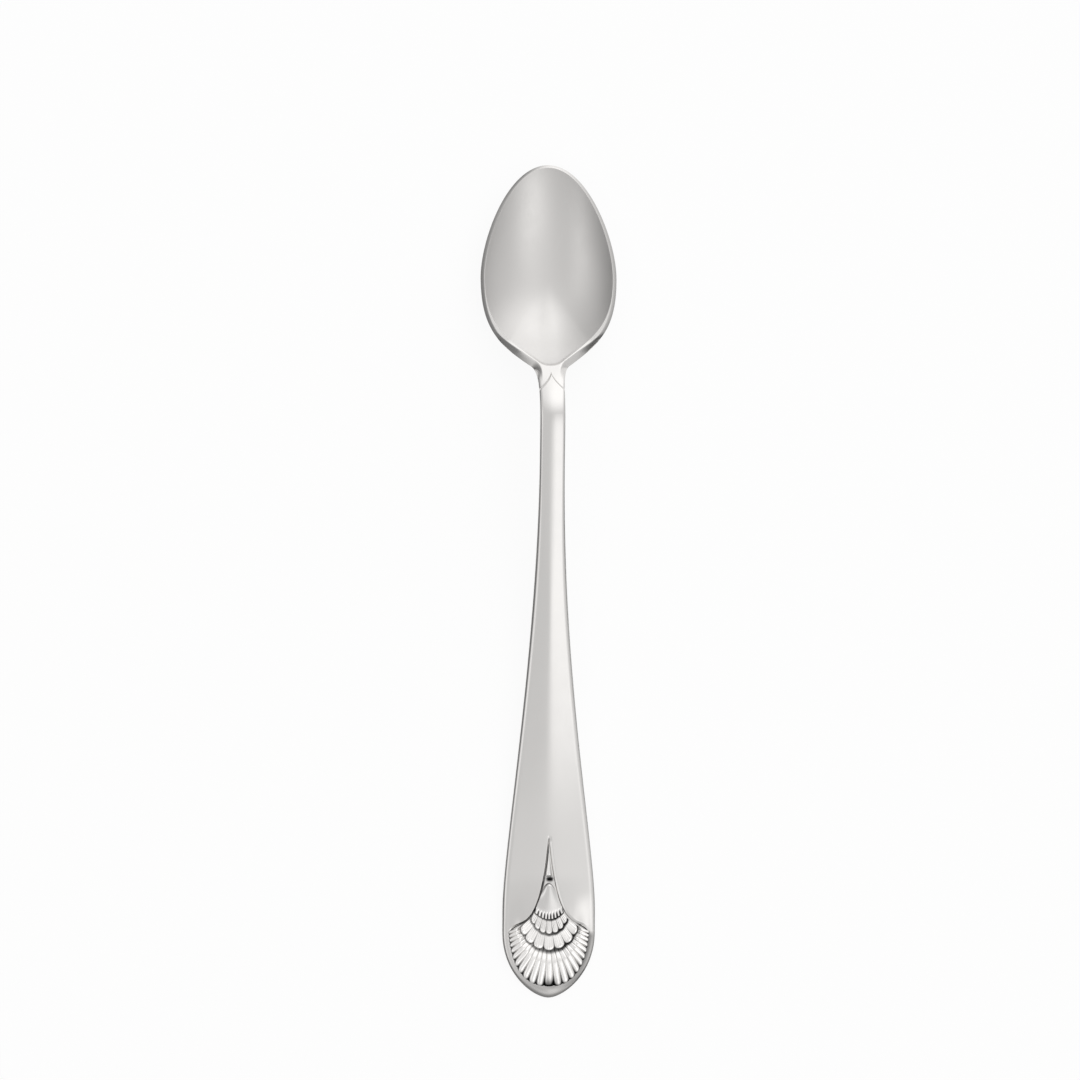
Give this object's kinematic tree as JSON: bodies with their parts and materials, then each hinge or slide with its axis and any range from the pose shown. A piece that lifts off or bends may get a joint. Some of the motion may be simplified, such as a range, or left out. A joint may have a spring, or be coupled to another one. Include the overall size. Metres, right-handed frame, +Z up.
{
  "type": "iced tea spoon",
  "caption": "Long-handled steel spoon with a small oval bowl, a slender stem and a tapered handle whose rounded end carries a relief of flutes and scallops.",
  "frame": {"origin": "on the surface the spoon lies on, under the middle of its overall box", "axes": "+Z up, +Y along the spoon from the handle's end to the front of the bowl, +X across"},
  "size_m": [0.031, 0.19, 0.0157],
  "materials": {
    "steel": "polished stainless steel, lightly satin"
  },
  "bodies": {
    "root": {"bowl": "steel", "neck": "steel", "stem": "steel", "handle": "steel", "handle_end": "steel", "fan": "steel", "lower_scallops": "steel", "upper_scallops": "steel", "bell": "steel", "spire_rib": "steel"}
  },
  "joints": []
}
